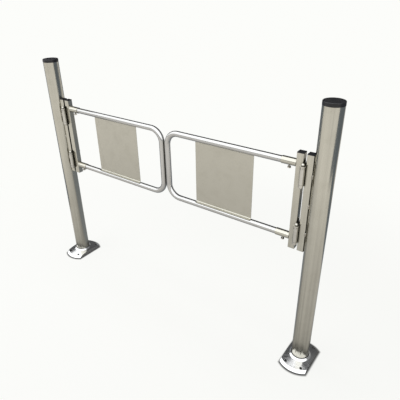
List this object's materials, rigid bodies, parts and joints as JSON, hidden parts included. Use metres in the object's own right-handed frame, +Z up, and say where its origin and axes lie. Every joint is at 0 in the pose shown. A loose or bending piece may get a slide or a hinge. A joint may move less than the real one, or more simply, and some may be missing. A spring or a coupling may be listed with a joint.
{
  "type": "self-closing pedestrian swing gate",
  "caption": "Double-leaf stainless pedestrian swing gate: two round posts on floor flanges, tube leaves with sheet panels, double-action spring hinges that swing both ways and close by themselves.",
  "frame": {"origin": "centre of the left post's floor flange, on the floor; left is as seen from the front", "axes": "+X along the gate line from the left post to the right post, -Y towards the front, +Z up"},
  "size_m": [1.332, 0.163, 0.978],
  "materials": {
    "satin_stainless": "satin",
    "bright_stainless": "polished",
    "black_plastic": "satin"
  },
  "bodies": {
    "root": {"left_post": "satin_stainless", "left_post_cap": "black_plastic", "left_floor_flange": "satin_stainless", "left_post_bar": "satin_stainless", "left_post_bar_plug": "black_plastic", "left_post_bar_welds": "satin_stainless", "left_upper_hinge_post_plate": "bright_stainless", "left_lower_hinge_post_plate": "bright_stainless", "right_post": "satin_stainless", "right_post_cap": "black_plastic", "right_floor_flange": "satin_stainless", "right_post_bar": "satin_stainless", "right_post_bar_plug": "black_plastic", "right_post_bar_welds": "satin_stainless", "right_upper_hinge_post_plate": "bright_stainless", "right_lower_hinge_post_plate": "bright_stainless"},
    "left_web": {"left_upper_hinge_web": "bright_stainless", "left_lower_hinge_web": "bright_stainless"},
    "left_leaf": {"left_upper_hinge_leaf_plate": "bright_stainless", "left_lower_hinge_leaf_plate": "bright_stainless", "left_leaf_bar": "satin_stainless", "left_leaf_bar_plug": "black_plastic", "left_upper_sleeve": "satin_stainless", "left_lower_sleeve": "satin_stainless", "left_upper_set_screw": "bright_stainless", "left_lower_set_screw": "bright_stainless", "left_leaf_tube": "satin_stainless", "left_leaf_panel": "satin_stainless"},
    "right_web": {"right_upper_hinge_web": "bright_stainless", "right_lower_hinge_web": "bright_stainless"},
    "right_leaf": {"right_upper_hinge_leaf_plate": "bright_stainless", "right_lower_hinge_leaf_plate": "bright_stainless", "right_leaf_bar": "satin_stainless", "right_leaf_bar_plug": "black_plastic", "right_upper_sleeve": "satin_stainless", "right_lower_sleeve": "satin_stainless", "right_upper_set_screw": "bright_stainless", "right_lower_set_screw": "bright_stainless", "right_leaf_tube": "satin_stainless", "right_leaf_panel": "satin_stainless"}
  },
  "joints": [
    {"name": "left_front_hinge", "type": "hinge", "parent": "root", "child": "left_web", "pos_m": [0.058, -0.02, 0.65], "axis": [0, 0, 1], "range_deg": [-90, 0], "stiffness_Nm_per_rad": 2.4, "springref_deg": 34.38},
    {"name": "left_rear_hinge", "type": "hinge", "parent": "left_web", "child": "left_leaf", "pos_m": [0.061, 0.02, 0.65], "axis": [0, 0, 1], "range_deg": [0, 90], "stiffness_Nm_per_rad": 2.4, "springref_deg": -34.38},
    {"name": "right_rear_hinge", "type": "hinge", "parent": "root", "child": "right_web", "pos_m": [1.174, 0.02, 0.65], "axis": [0, 0, 1], "range_deg": [-90, 0], "stiffness_Nm_per_rad": 2.4, "springref_deg": 34.38},
    {"name": "right_front_hinge", "type": "hinge", "parent": "right_web", "child": "right_leaf", "pos_m": [1.171, -0.02, 0.65], "axis": [0, 0, 1], "range_deg": [0, 90], "stiffness_Nm_per_rad": 2.4, "springref_deg": -34.38}
  ]
}
